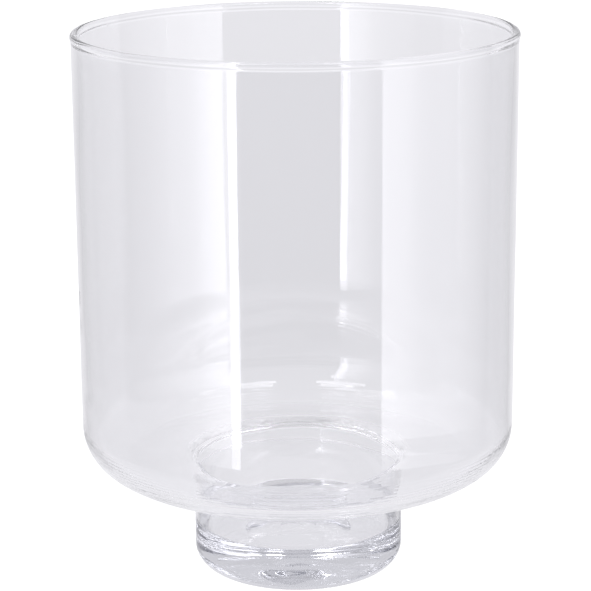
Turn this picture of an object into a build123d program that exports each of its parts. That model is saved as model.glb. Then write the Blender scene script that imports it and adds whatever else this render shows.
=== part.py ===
from build123d import *

import math
import os

# Clear glass hurricane vase: an open cylindrical bowl on a short foot with a thick solid base.
#
# Both pieces are bodies of revolution about +Z, in millimetres, with the origin at the centre of
# the resting plane. The bowl's floor bends down into an open neck, and the cup-shaped foot is
# joined to the neck while hot, so the two solids meet face to face on one flat ring.

# Driving dimensions
total_height = 252.0
bowl_radius = 100.0
foot_radius = 48.7
foot_height = 49.6  # resting plane to the underside of the bowl

# Bowl
wall = 2.7
floor_thickness = 3.8
corner_outer_radius = 20.4
corner_inner_radius = 17.5
lip_bead_radius = 1.9  # the fire-polished lip is a little thicker than the wall
lip_blend_radius = 4.0

# Neck, and the mouth where the bowl's floor bends down towards the well
neck_wall = 2.2
neck_outer_fillet = 1.4
mouth_radius = 55.0
mouth_bend = 16.0
mouth_edge_fillet = 0.8
seam_height = 44.0

# Foot
base_thickness = 21.8
well_fillet = 1.0
foot_edge_radius = 9.4

# Underside: a dished hollow inside the resting ring, with a ground pontil mark in its middle
hollow_radius = 24.8
hollow_depth = 4.5
pontil_radius = 8.4
pontil_depth = 1.6

# Worked out from the above
bowl_inner_radius = bowl_radius - wall
bowl_floor = foot_height + floor_thickness
well_radius = foot_radius - neck_wall
wall_middle = bowl_radius - wall / 2
lip_centre = total_height - lip_bead_radius


def rounded(section, x, z, radius):
    """The section with its corner nearest to (x, z) rounded off."""
    corner = section.vertices().sort_by_distance((x, z, 0))[0]
    return fillet(corner, radius)


def dish_bend(width_radius, depth):
    """The radius of the shallow arc that is depth high and reaches width_radius out."""
    return (width_radius**2 + depth**2) / (2 * depth)


def cap(width_radius, depth, base):
    """A disc whose top is a shallow arc: depth high, and width_radius out at the height base."""
    bend = dish_bend(width_radius, depth)
    return Pos(0, base + depth - bend) * Circle(bend)


def turned(section):
    """The solid that a section, drawn as radius and height, sweeps about the Z axis."""
    return revolve(Plane.XZ * section, Axis.Z)


def mouth_cut():
    """What the mouth's bend takes off the square edge between the floor and the well's wall."""
    square = Rectangle(mouth_radius - well_radius, mouth_bend, align=(Align.MIN, Align.MAX))
    bend = Pos(mouth_radius, bowl_floor - mouth_bend) * Circle(mouth_bend)
    return Pos(well_radius, bowl_floor) * square - bend


def bowl_section():
    """Wall, corner, floor and neck as one band of glass, with a bead round the lip."""
    band = Polygon(
        (well_radius, seam_height),
        (foot_radius, seam_height),
        (foot_radius, foot_height),
        (bowl_radius, foot_height),
        (bowl_radius, lip_centre),
        (bowl_inner_radius, lip_centre),
        (bowl_inner_radius, bowl_floor),
        (well_radius, bowl_floor),
        align=None,
    )
    band = rounded(band, foot_radius, foot_height, neck_outer_fillet)
    band = rounded(band, bowl_radius, foot_height, corner_outer_radius)
    band = rounded(band, bowl_inner_radius, bowl_floor, corner_inner_radius)
    band -= mouth_cut()
    drop = math.sqrt(mouth_bend**2 - (mouth_radius - well_radius) ** 2)
    band = rounded(band, well_radius, bowl_floor - mouth_bend + drop, mouth_edge_fillet)
    band += Pos(wall_middle, lip_centre) * Circle(lip_bead_radius)
    for face_radius in (bowl_inner_radius, bowl_radius):
        band = rounded(band, face_radius, lip_centre - lip_bead_radius / 2, lip_blend_radius)
    return band


def foot_section():
    """A cup with a thick base, rounded at the bottom edge and hollowed underneath."""
    cup = Polygon(
        (0, 0),
        (foot_radius, 0),
        (foot_radius, seam_height),
        (well_radius, seam_height),
        (well_radius, base_thickness),
        (0, base_thickness),
        align=None,
    )
    cup = rounded(cup, foot_radius, 0, foot_edge_radius)
    cup = rounded(cup, well_radius, base_thickness, well_fillet)
    cup -= cap(hollow_radius, hollow_depth, 0)
    bend = dish_bend(hollow_radius, hollow_depth)
    mark_edge = hollow_depth - bend + math.sqrt(bend**2 - pontil_radius**2)
    return cup - cap(pontil_radius, pontil_depth, mark_edge)


os.makedirs("parts", exist_ok=True)
for node, section in (("bowl", bowl_section()), ("foot", foot_section())):
    export_step(turned(section), f"parts/{node}.step")
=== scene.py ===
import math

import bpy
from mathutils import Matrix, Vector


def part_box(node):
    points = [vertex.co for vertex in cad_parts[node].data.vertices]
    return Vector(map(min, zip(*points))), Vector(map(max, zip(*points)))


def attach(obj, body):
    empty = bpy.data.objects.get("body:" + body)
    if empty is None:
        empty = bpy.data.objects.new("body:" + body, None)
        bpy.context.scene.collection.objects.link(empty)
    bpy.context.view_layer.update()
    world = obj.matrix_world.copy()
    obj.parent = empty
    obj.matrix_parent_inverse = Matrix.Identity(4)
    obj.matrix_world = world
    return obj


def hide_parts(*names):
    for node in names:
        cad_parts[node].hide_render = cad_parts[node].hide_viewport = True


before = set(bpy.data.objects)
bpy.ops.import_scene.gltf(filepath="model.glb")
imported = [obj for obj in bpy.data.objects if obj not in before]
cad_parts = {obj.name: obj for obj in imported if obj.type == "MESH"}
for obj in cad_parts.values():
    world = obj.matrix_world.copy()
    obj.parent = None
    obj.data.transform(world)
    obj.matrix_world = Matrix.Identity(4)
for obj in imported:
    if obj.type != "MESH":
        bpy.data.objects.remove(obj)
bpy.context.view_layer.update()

# Clear glass hurricane vase, in metres. Two pieces of glass stand for the two CAD nodes: the bowl
# with its lip, corner, floor and neck, and the foot with its well and thick base. Both are turned
# outlines with the slight unevenness of blown glass. They face each other at the seam across a
# gap too small to see, because light has to leave each closed piece before it enters the next.

bowl_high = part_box("bowl")[1]
foot_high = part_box("foot")[1]

MM = 0.001

# Driving dimensions, from the frame where it holds them
TOTAL_HEIGHT = bowl_high[2]
SEAM_HEIGHT = foot_high[2]
FOOT_RADIUS = 48.7 * MM
FOOT_HEIGHT = 49.6 * MM
BOWL_RADIUS = 100.0 * MM
WALL = 2.7 * MM
FLOOR_THICKNESS = 3.8 * MM
CORNER_OUTER_RADIUS = 20.4 * MM
CORNER_INNER_RADIUS = 17.5 * MM
LIP_BEAD_RADIUS = 1.9 * MM
LIP_BLEND_RADIUS = 4.0 * MM
NECK_WALL = 2.2 * MM
NECK_OUTER_FILLET = 1.4 * MM
MOUTH_RADIUS = 55.0 * MM    # where the floor starts to bend down into the neck
MOUTH_BEND = 16.0 * MM
MOUTH_EDGE_FILLET = 0.8 * MM
BASE_THICKNESS = 21.8 * MM
WELL_FILLET = 1.0 * MM
FOOT_EDGE_RADIUS = 9.4 * MM
HOLLOW_RADIUS = 24.8 * MM
HOLLOW_DEPTH = 4.5 * MM
PONTIL_RADIUS = 8.4 * MM
PONTIL_DEPTH = 1.6 * MM

# Worked out from the above
BOWL_INNER_RADIUS = BOWL_RADIUS - WALL
BOWL_FLOOR = FOOT_HEIGHT + FLOOR_THICKNESS
WELL_RADIUS = FOOT_RADIUS - NECK_WALL
LIP_MIDDLE = BOWL_RADIUS - WALL / 2
LIP_CENTRE = TOTAL_HEIGHT - LIP_BEAD_RADIUS

# Mesh
SEAM_GAP = 0.01 * MM
SEGMENTS = 256      # round the axis
ARC_STEP = math.radians(5)
BOWL_STEP = 3 * MM
FOOT_STEP = 1 * MM
EASE = 0.12 * MM    # the short step at each end of a side, which keeps its smooth shading flat
SHARP = math.radians(50)    # edges that turn by more than this are shaded sharp
ON_AXIS = 1e-7      # a radius below this is on the axis

# Unevenness: height, waves round the axis, length along the surface, phase
WALL_TRAINS = (
    (0.030 * MM, 5, 160 * MM, 0.6),
    (0.020 * MM, 2, 60 * MM, 4.0),
    (0.010 * MM, 17, 300 * MM, 2.1),
)
LIP_TRAINS = (
    (0.05 * MM, 4, 9 * MM, 0.2),
    (0.03 * MM, 11, 5 * MM, 1.7),
)
CORNER_TRAINS = (
    (0.035 * MM, 3, 26 * MM, 1.0),
    (0.020 * MM, 7, 15 * MM, 2.5),
)
WELL_TRAINS = (
    (0.10 * MM, 2, 30 * MM, 0.4),
    (0.04 * MM, 3, 18 * MM, 1.9),
)
UNDERSIDE_TRAINS = (
    (0.10 * MM, 1, 12 * MM, 0.3),
    (0.06 * MM, 3, 20 * MM, 1.3),
)
LIP_REACH = 8 * LIP_BEAD_RADIUS             # how far below the lip its unevenness starts
CORNER_REACH = 3 * CORNER_OUTER_RADIUS      # how far up the wall the corner's unevenness goes
MOUTH_CLEAR = (2 * MM, 12 * MM)             # inside and outside the mouth's radius, where it fades in
HOLLOW_CLEAR = 3 * MM                       # inside the hollow's edge, where it fades in

# Glass. The stretches are features to the metre along X, Y and Z
REFRACTIVE_INDEX = 1.5
TINT_RANGE = ((0.972, 0.972, 0.978, 1), (0.980, 0.980, 0.984, 1))
TINT_STRETCH = (9, 9, 9)
SMUDGE_STRETCH = (30, 30, 22)
SMUDGE_NOISE = (0.58, 0.74)     # where in the noise a smudge starts, and where it is thickest
BOWL_SMUDGE = 0.03              # roughness where a smudge is thickest
FOOT_SMUDGE = 0.008
TURNING_STRETCH = (7, 7, 55)
BOWL_TURNING = 0.012 * MM       # how deep the turning marks are
FOOT_TURNING = 0.006 * MM
SEEDS_PER_METRE = 50            # along a line: one scattered point to each 20 mm cube
SEED_RADIUS = 0.7 * MM
SEED_HEIGHT = 0.10 * MM
SPARED = (0.10, 0.12, 0.22, 1)      # the part of each colour that the base doesn't absorb
ABSORPTION = 3.2                    # of the rest, to the metre

# Camera
CAMERA_DISTANCE = 0.96698
CAMERA_HEIGHT = 0.38505
CAMERA_PITCH = math.radians(14.848)
CAMERA_YAW = math.radians(0.034)
CAMERA_ROLL = math.radians(-0.401)
CAMERA_LENS = 132.1     # in millimetres, as is the sensor
CAMERA_SENSOR = 36

# Studio. Angles are in degrees round the vase from the camera's side, positive to the right
FLOOR_HALF = 12
FLOOR_COLOUR = (0.93, 0.93, 0.93, 1)
FLOOR_ROUGHNESS = 0.9
TINT = (1.006, 1.0, 1.042)    # the studio's greys are a touch violet
PANEL_COLUMNS = 48
# Light panels: distance, lowest and highest point, and the glow at angles along the width
PANELS = {
    "left_panel": (0.65, -0.11, 1.0, [
        (-27.2, 5.5), (-31.2, 5.5), (-31.6, 2.6), (-40, 2.0),
        (-48, 1.2), (-60, 0.75), (-75, 0.5), (-95, 0.5),
    ]),
    "right_panel": (1.15, -0.285, 1.7, [
        (42.4, 2.4), (56, 2.1), (66, 1.6), (80, 1.3), (92, 1.0), (115, 0.5),
    ]),
    "left_top_panel": (0.9, 1.75, 2.9, [(-22, 6.0), (-75, 4.0)]),
    "right_top_panel": (0.9, 1.75, 2.9, [(24, 6.0), (58, 4.0)]),
    "gap_panel": (1.4, -0.35, 0.35, [(-27.2, 0.25), (42.4, 0.25)]),
}
# How bright the room is by height of direction, behind the vase and at its sides
BACK_LEVELS = [(-0.40, 0.86), (-0.27, 0.82), (-0.14, 0.85), (-0.03, 0.92), (0.10, 0.96), (0.22, 0.80)]
SIDE_LEVELS = [(-0.40, 0.84), (-0.35, 0.64), (-0.16, 0.64), (0.0, 0.98), (0.14, 0.98), (0.30, 0.80)]
BACK_HALF_WIDTH = (math.radians(14), math.radians(34))    # where the back turns into the sides
WHITE = 1.3     # what the camera sees round the vase, and what lights the floor
BOUNCES = 96    # light piped round the lip and the corner takes many
TRANSPARENT_BOUNCES = 24


def arc(centre, radius, start, end):
    """Points on an arc in the radius and height plane, from angle start to end, in degrees."""
    turn = math.radians(end - start)
    count = max(2, math.ceil(abs(turn) / ARC_STEP))
    angles = [math.radians(start) + turn * i / count for i in range(count + 1)]
    return [(centre[0] + radius * math.cos(a), centre[1] + radius * math.sin(a)) for a in angles]


def with_steps(corners, step):
    """The outline with its longer sides divided: a short step at each end, even ones between."""
    points = [corners[0]]
    for start, end in zip(corners, corners[1:]):
        length = math.dist(start, end)
        marks = [1.0]
        if length > 4 * EASE:
            count = max(1, math.ceil((length - 2 * EASE) / step))
            marks = [(EASE + (length - 2 * EASE) * i / count) / length for i in range(count + 1)]
            marks.append(1.0)
        for t in marks:
            points.append((start[0] + (end[0] - start[0]) * t, start[1] + (end[1] - start[1]) * t))
    return points


def lip_bead():
    """The lip from the wall's outer face over the top to its inner face."""
    reach = LIP_BEAD_RADIUS + LIP_BLEND_RADIUS
    spread = LIP_BLEND_RADIUS + WALL / 2
    dip = math.degrees(math.acos(spread / reach))
    drop = reach * math.sin(math.radians(dip))
    outer = (LIP_MIDDLE + spread, LIP_CENTRE - drop)
    inner = (LIP_MIDDLE - spread, LIP_CENTRE - drop)
    bead = (LIP_MIDDLE, LIP_CENTRE)
    return (
        arc(outer, LIP_BLEND_RADIUS, 180, 180 - dip)
        + arc(bead, LIP_BEAD_RADIUS, -dip, 180 + dip)[1:]
        + arc(inner, LIP_BLEND_RADIUS, dip, 0)[1:]
    )


def bowl_outline():
    """From the seam's outer edge, round the outside, over the lip and down to its inner edge."""
    neck = (FOOT_RADIUS + NECK_OUTER_FILLET, FOOT_HEIGHT - NECK_OUTER_FILLET)
    corner_out = (BOWL_RADIUS - CORNER_OUTER_RADIUS, FOOT_HEIGHT + CORNER_OUTER_RADIUS)
    corner_in = (BOWL_INNER_RADIUS - CORNER_INNER_RADIUS, BOWL_FLOOR + CORNER_INNER_RADIUS)
    mouth = (MOUTH_RADIUS, BOWL_FLOOR - MOUTH_BEND)
    edge_reach = MOUTH_BEND - MOUTH_EDGE_FILLET
    edge_across = MOUTH_RADIUS - WELL_RADIUS - MOUTH_EDGE_FILLET
    mouth_turn = math.degrees(math.asin(edge_across / edge_reach))
    edge = (WELL_RADIUS + MOUTH_EDGE_FILLET, mouth[1] + math.sqrt(edge_reach**2 - edge_across**2))
    return with_steps(
        [(FOOT_RADIUS, SEAM_HEIGHT + SEAM_GAP)]
        + arc(neck, NECK_OUTER_FILLET, 180, 90)
        + arc(corner_out, CORNER_OUTER_RADIUS, -90, 0)
        + lip_bead()
        + arc(corner_in, CORNER_INNER_RADIUS, 0, -90)
        + arc(mouth, MOUTH_BEND, 90, 90 + mouth_turn)
        + arc(edge, MOUTH_EDGE_FILLET, 90 + mouth_turn, 180)[1:]
        + [(WELL_RADIUS, SEAM_HEIGHT + SEAM_GAP)],
        BOWL_STEP,
    )


def dish(radius, depth, start):
    """A shallow arc of revolution's section, from radius start out to radius, depth high inside."""
    bend = (radius**2 + depth**2) / (2 * depth)
    count = max(4, math.ceil((radius - start) / FOOT_STEP))
    points = []
    for i in range(count + 1):
        r = start + (radius - start) * i / count
        points.append((r, math.sqrt(bend**2 - r**2) - (bend - depth)))
    return points


def foot_outline():
    """From the pontil mark's middle, along the underside, up the side and down into the well."""
    edge = (FOOT_RADIUS - FOOT_EDGE_RADIUS, FOOT_EDGE_RADIUS)
    well = (WELL_RADIUS - WELL_FILLET, BASE_THICKNESS + WELL_FILLET)
    hollow = dish(HOLLOW_RADIUS, HOLLOW_DEPTH, PONTIL_RADIUS)
    mark_edge = hollow[0][1]
    mark = [(r, z + mark_edge) for r, z in dish(PONTIL_RADIUS, PONTIL_DEPTH, 0)]
    return with_steps(
        mark
        + hollow[1:]
        + arc(edge, FOOT_EDGE_RADIUS, -90, 0)
        + [(FOOT_RADIUS, SEAM_HEIGHT), (WELL_RADIUS, SEAM_HEIGHT)]
        + arc(well, WELL_FILLET, 0, -90)
        + [(0, BASE_THICKNESS)],
        FOOT_STEP,
    )


def fade(value, none, full):
    """0 at none, 1 at full, and a smooth step between."""
    t = min(max((value - none) / (full - none), 0.0), 1.0)
    return t * t * (3 - 2 * t)


def waves(along, angle, trains):
    """Wave trains summed: each has a height, waves round the axis, a length along and a phase."""
    return sum(
        height * math.sin(count * angle + math.tau * along / length + phase)
        for height, count, length, phase in trains
    )


def bowl_unevenness(r, z, angle):
    """How far the blown bowl strays outwards here from a true turned surface."""
    along = z + BOWL_RADIUS - r
    clear_of_seam = fade(z, SEAM_HEIGHT, BOWL_FLOOR)
    near_lip = fade(z, LIP_CENTRE - LIP_REACH, LIP_CENTRE)
    low = fade(z, FOOT_HEIGHT + CORNER_REACH, FOOT_HEIGHT + CORNER_OUTER_RADIUS)
    low *= fade(r, MOUTH_RADIUS - MOUTH_CLEAR[0], MOUTH_RADIUS + MOUTH_CLEAR[1])
    return clear_of_seam * (
        waves(along, angle, WALL_TRAINS)
        + low * waves(along, angle, CORNER_TRAINS)
        + near_lip * waves(along, angle, LIP_TRAINS)
    )


def foot_unevenness(r, z, angle):
    """How far the foot strays outwards here: none at the seam or on the resting ring."""
    if z > BASE_THICKNESS + WELL_FILLET:
        return fade(z, SEAM_HEIGHT, BASE_THICKNESS + WELL_FILLET) * waves(z, angle, WALL_TRAINS)
    if z > BASE_THICKNESS - WELL_FILLET and r < WELL_RADIUS:
        return fade(r, WELL_RADIUS, WELL_RADIUS / 2) * waves(r, angle, WELL_TRAINS)
    if r < HOLLOW_RADIUS and z <= HOLLOW_DEPTH + PONTIL_DEPTH:
        return fade(r, HOLLOW_RADIUS, HOLLOW_RADIUS - HOLLOW_CLEAR) * waves(r, angle, UNDERSIDE_TRAINS)
    return fade(z, 0, FOOT_EDGE_RADIUS) * waves(z, angle, WALL_TRAINS)


def turned(name, outline, closed, unevenness):
    """A mesh swept about Z from an outline; a point on the axis becomes a single vertex."""
    verts = []
    rings = []
    last = len(outline) - 1
    for i, (r, z) in enumerate(outline):
        if r < ON_AXIS:
            rings.append([len(verts)] * SEGMENTS)
            verts.append((0, 0, z))
            continue
        rings.append(range(len(verts), len(verts) + SEGMENTS))
        before = outline[i - 1] if closed or i > 0 else outline[i]
        after = outline[(i + 1) % len(outline)] if closed or i < last else outline[i]
        rise, reach = after[1] - before[1], after[0] - before[0]
        size = math.hypot(rise, reach)
        for k in range(SEGMENTS):
            angle = math.tau * k / SEGMENTS
            stray = unevenness(r, z, angle) / size
            out = r + stray * rise
            verts.append((out * math.cos(angle), out * math.sin(angle), z - stray * reach))
    pairs = list(zip(rings, rings[1:]))
    if closed:
        pairs.append((rings[-1], rings[0]))
    faces = []
    for low, high in pairs:
        for k in range(SEGMENTS):
            n = (k + 1) % SEGMENTS
            corners = [low[k], low[n], high[n], high[k]]
            faces.append(list(dict.fromkeys(corners)))
    mesh = bpy.data.meshes.new(name)
    mesh.from_pydata(verts, [], faces)
    mesh.validate()
    mesh.shade_smooth()
    mesh.set_sharp_from_angle(angle=SHARP)
    piece = bpy.data.objects.new(name, mesh)
    bpy.context.collection.objects.link(piece)
    return piece


def mapped(nodes, links, value, limits):
    """A value carried from one range to another, given as from low, from high, to low, to high."""
    place = nodes.new("ShaderNodeMapRange")
    place.interpolation_type = "SMOOTHSTEP"
    for socket, limit in zip(("From Min", "From Max", "To Min", "To Max"), limits):
        place.inputs[socket].default_value = limit
    links.new(value, place.inputs["Value"])
    return place.outputs["Result"]


def noise(nodes, links, stretch, detail):
    """Noise over the glass, with so many features to the metre along X, Y and Z."""
    place = nodes.new("ShaderNodeTexCoord")
    scaled = nodes.new("ShaderNodeMapping")
    scaled.inputs["Scale"].default_value = stretch
    links.new(place.outputs["Object"], scaled.inputs["Vector"])
    field = nodes.new("ShaderNodeTexNoise")
    field.inputs["Scale"].default_value = 1.0
    field.inputs["Detail"].default_value = detail
    links.new(scaled.outputs["Vector"], field.inputs["Vector"])
    return field.outputs["Fac"]


def bump(nodes, links, height, depth, below=None):
    """A bump of the given depth in metres, on top of the normal below it where there is one."""
    raised = nodes.new("ShaderNodeBump")
    raised.inputs["Strength"].default_value = 1.0
    raised.inputs["Distance"].default_value = depth
    links.new(height, raised.inputs["Height"])
    if below:
        links.new(below, raised.inputs["Normal"])
    return raised.outputs["Normal"]


def seeds(nodes, links):
    """Raised specks the size of seed bubbles, where the surface passes close to scattered points."""
    place = nodes.new("ShaderNodeTexCoord")
    scatter = nodes.new("ShaderNodeTexVoronoi")
    scatter.inputs["Scale"].default_value = SEEDS_PER_METRE
    links.new(place.outputs["Object"], scatter.inputs["Vector"])
    radius = SEED_RADIUS * SEEDS_PER_METRE
    return mapped(nodes, links, scatter.outputs["Distance"], (0, radius, 1, 0))


def glass_material(name, smudge_roughness, turning_depth):
    """Clear glass with turning marks, seed specks, faint smudges and a barely uneven tint."""
    mat = bpy.data.materials.new(name)
    mat.use_nodes = True
    nodes, links = mat.node_tree.nodes, mat.node_tree.links
    bsdf = nodes["Principled BSDF"]
    bsdf.inputs["IOR"].default_value = REFRACTIVE_INDEX
    bsdf.inputs["Transmission Weight"].default_value = 1.0
    tint = nodes.new("ShaderNodeMix")
    tint.data_type = "RGBA"
    tint.inputs["A"].default_value = TINT_RANGE[0]
    tint.inputs["B"].default_value = TINT_RANGE[1]
    links.new(noise(nodes, links, TINT_STRETCH, 1), tint.inputs["Factor"])
    links.new(tint.outputs["Result"], bsdf.inputs["Base Color"])
    patches = noise(nodes, links, SMUDGE_STRETCH, 4)
    smudge = mapped(nodes, links, patches, (*SMUDGE_NOISE, 0, smudge_roughness))
    links.new(smudge, bsdf.inputs["Roughness"])
    turning = bump(nodes, links, noise(nodes, links, TURNING_STRETCH, 2), turning_depth)
    links.new(bump(nodes, links, seeds(nodes, links), SEED_HEIGHT, turning), bsdf.inputs["Normal"])
    return mat


def absorb(mat):
    """Clear glass takes a little light on the way through, which shows in the thick base."""
    nodes, links = mat.node_tree.nodes, mat.node_tree.links
    volume = nodes.new("ShaderNodeVolumeAbsorption")
    volume.inputs["Color"].default_value = SPARED
    volume.inputs["Density"].default_value = ABSORPTION
    links.new(volume.outputs[0], nodes["Material Output"].inputs["Volume"])


def add_camera():
    """The camera, in front of the vase, higher than its lip and tilted down."""
    data = bpy.data.cameras.new("camera")
    data.sensor_width = CAMERA_SENSOR
    data.lens = CAMERA_LENS
    camera = bpy.data.objects.new("camera", data)
    bpy.context.collection.objects.link(camera)
    turn = (
        Matrix.Rotation(CAMERA_YAW, 4, "Z")
        @ Matrix.Rotation(math.pi / 2 - CAMERA_PITCH, 4, "X")
        @ Matrix.Rotation(CAMERA_ROLL, 4, "Z")
    )
    camera.matrix_world = Matrix.Translation((0, -CAMERA_DISTANCE, CAMERA_HEIGHT)) @ turn
    bpy.context.scene.camera = camera


def add_floor():
    """A plain pale floor that reflected and refracted rays pass by."""
    mesh = bpy.data.meshes.new("floor")
    corners = [(x * FLOOR_HALF, y * FLOOR_HALF, 0) for x, y in ((-1, -1), (1, -1), (1, 1), (-1, 1))]
    mesh.from_pydata(corners, [], [(0, 1, 2, 3)])
    floor = bpy.data.objects.new("floor", mesh)
    bpy.context.collection.objects.link(floor)
    mat = bpy.data.materials.new("floor")
    mat.use_nodes = True
    bsdf = mat.node_tree.nodes["Principled BSDF"]
    bsdf.inputs["Base Color"].default_value = FLOOR_COLOUR
    bsdf.inputs["Roughness"].default_value = FLOOR_ROUGHNESS
    bsdf.inputs["Specular IOR Level"].default_value = 0.0
    mesh.materials.append(mat)
    floor.visible_glossy = False
    floor.visible_transmission = False


def set_stops(ramp, stops):
    """Make a colour ramp's stops greys, each given as a place from 0 to 1 and a level."""
    while len(ramp.elements) < len(stops):
        ramp.elements.new(0.5)
    for element, (place, level) in zip(ramp.elements, stops):
        element.position = place
        element.color = (*(level * part for part in TINT), 1)


def panel(name, distance, low, high, stops):
    """A curved light panel round part of the vase, its glow given along its width by stops.

    Only a ray that has been reflected at least once sees it, and others pass through, so that
    it doesn't stand behind the glass in a view from the back.
    """
    start, end = stops[0][0], stops[-1][0]
    verts, faces = [], []
    for i in range(PANEL_COLUMNS + 1):
        a = math.radians(start + (end - start) * i / PANEL_COLUMNS)
        for z in (low, high):
            verts.append((distance * math.sin(a), -distance * math.cos(a), z))
    for i in range(PANEL_COLUMNS):
        faces.append((2 * i, 2 * i + 2, 2 * i + 3, 2 * i + 1))
    mesh = bpy.data.meshes.new(name)
    mesh.from_pydata(verts, [], faces)
    uv = mesh.uv_layers.new(name="across")
    for loop in mesh.loops:
        uv.data[loop.index].uv = (loop.vertex_index // 2 / PANEL_COLUMNS, loop.vertex_index % 2)
    mat = bpy.data.materials.new(name)
    mat.use_nodes = True
    nodes, links = mat.node_tree.nodes, mat.node_tree.links
    nodes.clear()
    across = nodes.new("ShaderNodeUVMap")
    across.uv_map = "across"
    split = nodes.new("ShaderNodeSeparateXYZ")
    ramp = nodes.new("ShaderNodeValToRGB")
    glow = nodes.new("ShaderNodeEmission")
    unseen = nodes.new("ShaderNodeBsdfTransparent")
    path = nodes.new("ShaderNodeLightPath")
    reflected = nodes.new("ShaderNodeMath")
    reflected.operation = "MINIMUM"
    reflected.inputs[1].default_value = 1.0
    links.new(path.outputs["Glossy Depth"], reflected.inputs[0])
    mix = nodes.new("ShaderNodeMixShader")
    links.new(reflected.outputs[0], mix.inputs["Fac"])
    links.new(unseen.outputs[0], mix.inputs[1])
    links.new(glow.outputs[0], mix.inputs[2])
    out = nodes.new("ShaderNodeOutputMaterial")
    links.new(across.outputs["UV"], split.inputs[0])
    links.new(split.outputs["X"], ramp.inputs["Fac"])
    links.new(ramp.outputs["Color"], glow.inputs["Color"])
    links.new(mix.outputs[0], out.inputs["Surface"])
    brightest = max(level for _, level in stops)
    glow.inputs["Strength"].default_value = brightest
    places = [((azimuth - start) / (end - start), level / brightest) for azimuth, level in stops]
    set_stops(ramp.color_ramp, places)
    mesh.materials.append(mat)
    sheet = bpy.data.objects.new(name, mesh)
    bpy.context.collection.objects.link(sheet)
    sheet.visible_camera = False
    sheet.visible_diffuse = False
    sheet.visible_shadow = False


def by_height(nodes, links, height, stops):
    """A grey level by how far a direction points up, given as stops of height and level."""
    low, high = stops[0][0], stops[-1][0]
    place = nodes.new("ShaderNodeMapRange")
    place.inputs["From Min"].default_value = low
    place.inputs["From Max"].default_value = high
    links.new(height, place.inputs["Value"])
    ramp = nodes.new("ShaderNodeValToRGB")
    links.new(place.outputs["Result"], ramp.inputs["Fac"])
    set_stops(ramp.color_ramp, [((z - low) / (high - low), level) for z, level in stops])
    return ramp.outputs["Color"]


def studio_world():
    """White to the camera and the floor; to the glass, a pale room that is darker at the sides."""
    world = bpy.data.worlds.new("studio")
    world.use_nodes = True
    nodes, links = world.node_tree.nodes, world.node_tree.links
    nodes.clear()
    direction = nodes.new("ShaderNodeTexCoord")
    parts = nodes.new("ShaderNodeSeparateXYZ")
    links.new(direction.outputs["Generated"], parts.inputs[0])
    azimuth = nodes.new("ShaderNodeMath")
    azimuth.operation = "ARCTAN2"
    links.new(parts.outputs["X"], azimuth.inputs[0])
    links.new(parts.outputs["Y"], azimuth.inputs[1])
    off_back = nodes.new("ShaderNodeMath")
    off_back.operation = "ABSOLUTE"
    links.new(azimuth.outputs[0], off_back.inputs[0])
    sideways = nodes.new("ShaderNodeMapRange")
    sideways.interpolation_type = "SMOOTHSTEP"
    sideways.inputs["From Min"].default_value = BACK_HALF_WIDTH[0]
    sideways.inputs["From Max"].default_value = BACK_HALF_WIDTH[1]
    links.new(off_back.outputs[0], sideways.inputs["Value"])
    room = nodes.new("ShaderNodeMix")
    room.data_type = "RGBA"
    links.new(sideways.outputs["Result"], room.inputs["Factor"])
    links.new(by_height(nodes, links, parts.outputs["Z"], BACK_LEVELS), room.inputs["A"])
    links.new(by_height(nodes, links, parts.outputs["Z"], SIDE_LEVELS), room.inputs["B"])
    seen_in_glass = nodes.new("ShaderNodeBackground")
    links.new(room.outputs["Result"], seen_in_glass.inputs["Color"])
    white = nodes.new("ShaderNodeBackground")
    white.inputs["Color"].default_value = (1, 1, 1, 1)
    white.inputs["Strength"].default_value = WHITE
    path = nodes.new("ShaderNodeLightPath")
    direct = nodes.new("ShaderNodeMath")
    direct.operation = "MAXIMUM"
    links.new(path.outputs["Is Camera Ray"], direct.inputs[0])
    links.new(path.outputs["Is Diffuse Ray"], direct.inputs[1])
    mix = nodes.new("ShaderNodeMixShader")
    links.new(direct.outputs[0], mix.inputs["Fac"])
    links.new(seen_in_glass.outputs[0], mix.inputs[1])
    links.new(white.outputs[0], mix.inputs[2])
    out = nodes.new("ShaderNodeOutputWorld")
    links.new(mix.outputs[0], out.inputs["Surface"])
    return world


clear_glass = glass_material("clear_glass", BOWL_SMUDGE, BOWL_TURNING)
base_glass = glass_material("base_glass", FOOT_SMUDGE, FOOT_TURNING)
absorb(base_glass)
bowl = turned("bowl_glass", bowl_outline(), True, bowl_unevenness)
foot = turned("foot_glass", foot_outline(), False, foot_unevenness)
for piece, node, glass in ((bowl, "bowl", clear_glass), (foot, "foot", base_glass)):
    piece.data.materials.append(glass)
    piece.visible_diffuse = False
    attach(piece, "root")
    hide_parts(node)

add_camera()
add_floor()
for panel_name, (distance, low, high, stops) in PANELS.items():
    panel(panel_name, distance, low, high, stops)
scene = bpy.context.scene
scene.world = studio_world()
scene.view_settings.view_transform = "Standard"
scene.cycles.max_bounces = BOUNCES
scene.cycles.transmission_bounces = BOUNCES
scene.cycles.glossy_bounces = BOUNCES
scene.cycles.transparent_max_bounces = TRANSPARENT_BOUNCES
